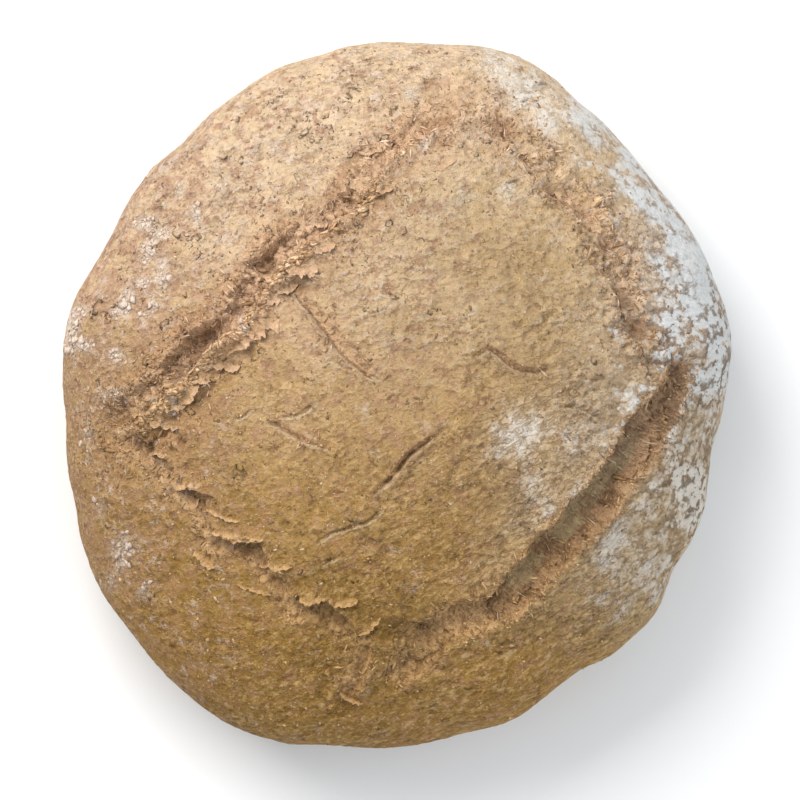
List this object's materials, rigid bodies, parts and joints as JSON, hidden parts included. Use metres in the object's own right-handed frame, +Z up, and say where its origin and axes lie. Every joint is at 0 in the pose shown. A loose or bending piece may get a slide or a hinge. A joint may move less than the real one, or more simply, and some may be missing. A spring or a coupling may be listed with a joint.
{
  "type": "whole wheat bread loaf",
  "caption": "Round hearth-baked whole wheat loaf, a domed brown crust torn open along a tilted square of slashes over a flat underside.",
  "frame": {"origin": "under the middle of the loaf's bounding box, on the surface that it stands on", "axes": "+Z up out of the crown; +Y along the longest extent, towards the edge that is at the top of the picture; +X across, towards the floury edge"},
  "size_m": [0.2272, 0.2399, 0.095],
  "materials": {
    "crust": "dry matt baked crust, golden brown, with bran specks, torn reddish-brown slashes and a dusting of flour"
  },
  "bodies": {
    "root": {"loaf": "crust"}
  },
  "joints": []
}
